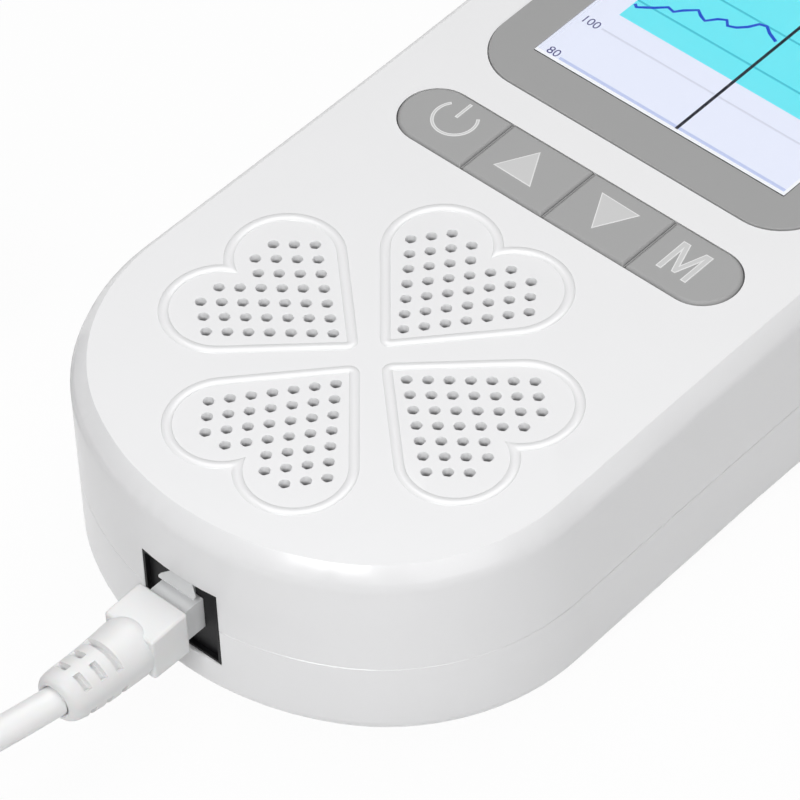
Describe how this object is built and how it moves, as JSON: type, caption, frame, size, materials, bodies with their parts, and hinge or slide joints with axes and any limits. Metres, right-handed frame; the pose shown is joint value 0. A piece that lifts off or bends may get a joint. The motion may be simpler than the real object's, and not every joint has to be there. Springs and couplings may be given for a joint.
{
  "type": "fetal doppler monitor",
  "caption": "Hand-held fetal doppler: rounded handset with colour screen, key strip, clover speaker grille and a plug-in lead to an ultrasound probe.",
  "frame": {"origin": "middle of the handset's flat back, on the surface it lies on", "axes": "+Z out of the screen, +Y along the handset towards the screen's end, so the probe's lead leaves at the -Y end; +X to the right seen from the front"},
  "size_m": [0.1498, 0.3243, 0.0371],
  "materials": {
    "shell_white": "fine satin moulding",
    "bezel_grey": "satin",
    "key_grey": "satin, with pale legends",
    "clear_window": "clear and smooth",
    "lcd_glass": "smooth display glass",
    "light_guide": "white",
    "black_plastic": "satin black",
    "board_green": "solder mask",
    "steel": "plated",
    "gold_contact": "bright",
    "dark_cloth": "fine mesh",
    "soft_foam": "foam",
    "speaker_cone": "pressed film",
    "clear_plug": "clear moulding",
    "boot_white": "soft satin",
    "cable_white": "soft satin",
    "battery_wrap": "shrink wrap",
    "probe_white": "fine satin moulding",
    "probe_face": "smooth",
    "ceramic": "fired ceramic"
  },
  "bodies": {
    "handset": {"front_shell": "shell_white", "rear_shell": "shell_white", "casing_screws": "steel", "screen_bezel": "bezel_grey", "screen_window": "clear_window", "lcd_glass": "lcd_glass", "lcd_backlight": "light_guide", "lcd_tray": "black_plastic", "key_switches": "steel", "main_board": "board_green", "board_chips": "black_plastic", "board_screws": "steel", "grille_cloth": "dark_cloth", "speaker_gasket": "soft_foam", "speaker_frame": "black_plastic", "speaker_cone": "speaker_cone", "speaker_magnet": "steel", "probe_socket": "black_plastic", "socket_contacts": "gold_contact", "socket_board": "board_green", "earphone_socket": "black_plastic", "charging_port": "steel", "battery_pack": "battery_wrap", "battery_foam": "soft_foam", "battery_contacts": "gold_contact"},
    "power_button": {"power_key": "key_grey", "power_plunger": "black_plastic"},
    "up_button": {"up_key": "key_grey", "up_plunger": "black_plastic"},
    "down_button": {"down_key": "key_grey", "down_plunger": "black_plastic"},
    "mode_button": {"mode_key": "key_grey", "mode_plunger": "black_plastic"},
    "door": {"battery_door": "shell_white"},
    "probe_lead": {"plug_body": "clear_plug", "plug_blades": "gold_contact", "plug_boot": "boot_white", "probe_cable": "cable_white", "cable_coil": "cable_white", "cable_tail": "cable_white", "probe_upper_shell": "probe_white", "probe_lower_shell": "probe_white", "probe_face": "probe_face", "probe_crystals": "ceramic", "probe_backing": "black_plastic", "probe_relief": "boot_white"}
  },
  "joints": [
    {"name": "power_press", "type": "slide", "parent": "handset", "child": "power_button", "axis": [0, 0, -1], "range_m": [0, 0.0006], "stiffness_N_per_m": 4000},
    {"name": "up_press", "type": "slide", "parent": "handset", "child": "up_button", "axis": [0, 0, -1], "range_m": [0, 0.0006], "stiffness_N_per_m": 4000},
    {"name": "down_press", "type": "slide", "parent": "handset", "child": "down_button", "axis": [0, 0, -1], "range_m": [0, 0.0006], "stiffness_N_per_m": 4000},
    {"name": "mode_press", "type": "slide", "parent": "handset", "child": "mode_button", "axis": [0, 0, -1], "range_m": [0, 0.0006], "stiffness_N_per_m": 4000},
    {"name": "door_hinge", "type": "hinge", "parent": "handset", "child": "door", "pos_m": [0, 0.0846, 0], "axis": [1, 0, 0], "range_deg": [0, 20]},
    {"name": "plug_pull", "type": "slide", "parent": "handset", "child": "probe_lead", "axis": [0, -1, 0], "range_m": [0, 0.015]}
  ]
}
